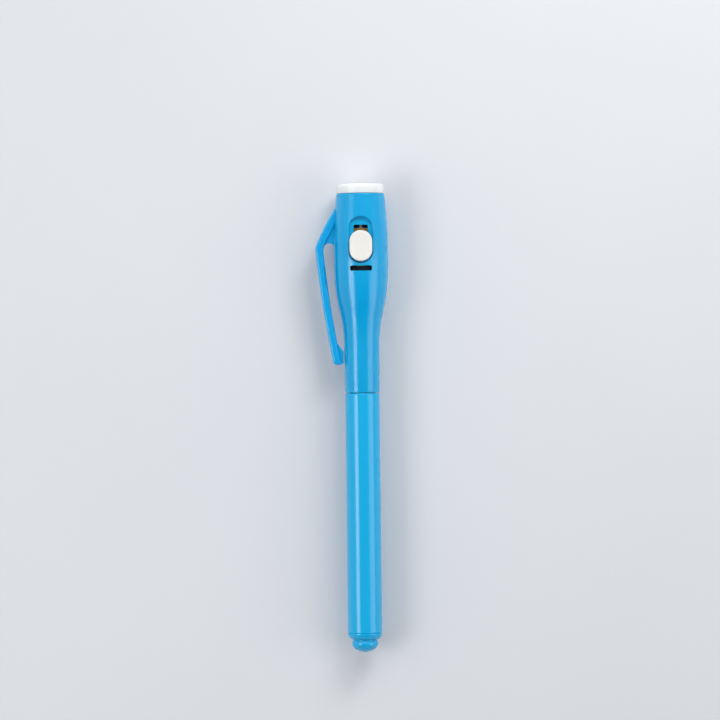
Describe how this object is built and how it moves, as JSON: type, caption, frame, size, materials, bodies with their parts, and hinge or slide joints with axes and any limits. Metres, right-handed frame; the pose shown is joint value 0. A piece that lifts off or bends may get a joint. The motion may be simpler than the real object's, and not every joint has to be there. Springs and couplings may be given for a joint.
{
  "type": "uv invisible ink pen",
  "caption": "Slim capped fibre-tip pen for invisible ink, its cap flaring into a round ultraviolet lamp head with a push button, release slot and side clip.",
  "frame": {"origin": "on the pen's axis, halfway along the barrel's exposed length", "axes": "+Y along the pen towards the lamp, +Z out of the button, -X towards the clip; the pen lies level with its axis in the XY plane"},
  "size_m": [0.0212, 0.1363, 0.0167],
  "materials": {
    "blue_plastic": "glossy moulded polypropylene, sky blue",
    "black_plastic": "smooth moulded, black",
    "nib_fibre": "bonded fibre, off white",
    "reservoir_fibre": "bundled fibre, white",
    "wrap_film": "thin wrapped film",
    "seal_plastic": "natural moulded polyethylene",
    "white_plastic": "moulded, white",
    "milky_plastic": "moulded, milky and translucent",
    "cradle_plastic": "moulded, black",
    "lamp_resin": "clear cast resin",
    "lamp_chip": "semiconductor die",
    "tinned_steel": "tinned wire",
    "cell_steel": "nickel plated can",
    "contact_brass": "stamped strip"
  },
  "bodies": {
    "barrel": {"barrel_tube": "blue_plastic", "rear_plug": "blue_plastic", "grip_section": "black_plastic", "nib": "nib_fibre", "ink_reservoir": "reservoir_fibre", "reservoir_wrap": "wrap_film"},
    "cap": {"cap_shell": "blue_plastic", "nib_seal": "seal_plastic"},
    "button": {"push_button": "white_plastic"},
    "lamp_unit": {"lens": "milky_plastic", "battery_cradle": "cradle_plastic", "uv_led": "lamp_resin", "led_chip": "lamp_chip", "led_anode_lead": "tinned_steel", "led_cathode_lead": "tinned_steel", "cell_front": "cell_steel", "cell_middle": "cell_steel", "cell_rear": "cell_steel", "rear_contact": "contact_brass", "switch_leaf": "contact_brass"}
  },
  "joints": [
    {"name": "cap_pull", "type": "slide", "parent": "barrel", "child": "cap", "axis": [0, 1, 0], "range_m": [0, 0.034]},
    {"name": "button_press", "type": "slide", "parent": "cap", "child": "button", "axis": [0, 0, -1], "range_m": [0, 0.0006], "stiffness_N_per_m": 600, "springref_m": -0.0005, "deforming": ["switch_leaf"]},
    {"name": "lamp_draw", "type": "slide", "parent": "cap", "child": "lamp_unit", "axis": [0, 1, 0], "range_m": [0, 0.03]}
  ]
}
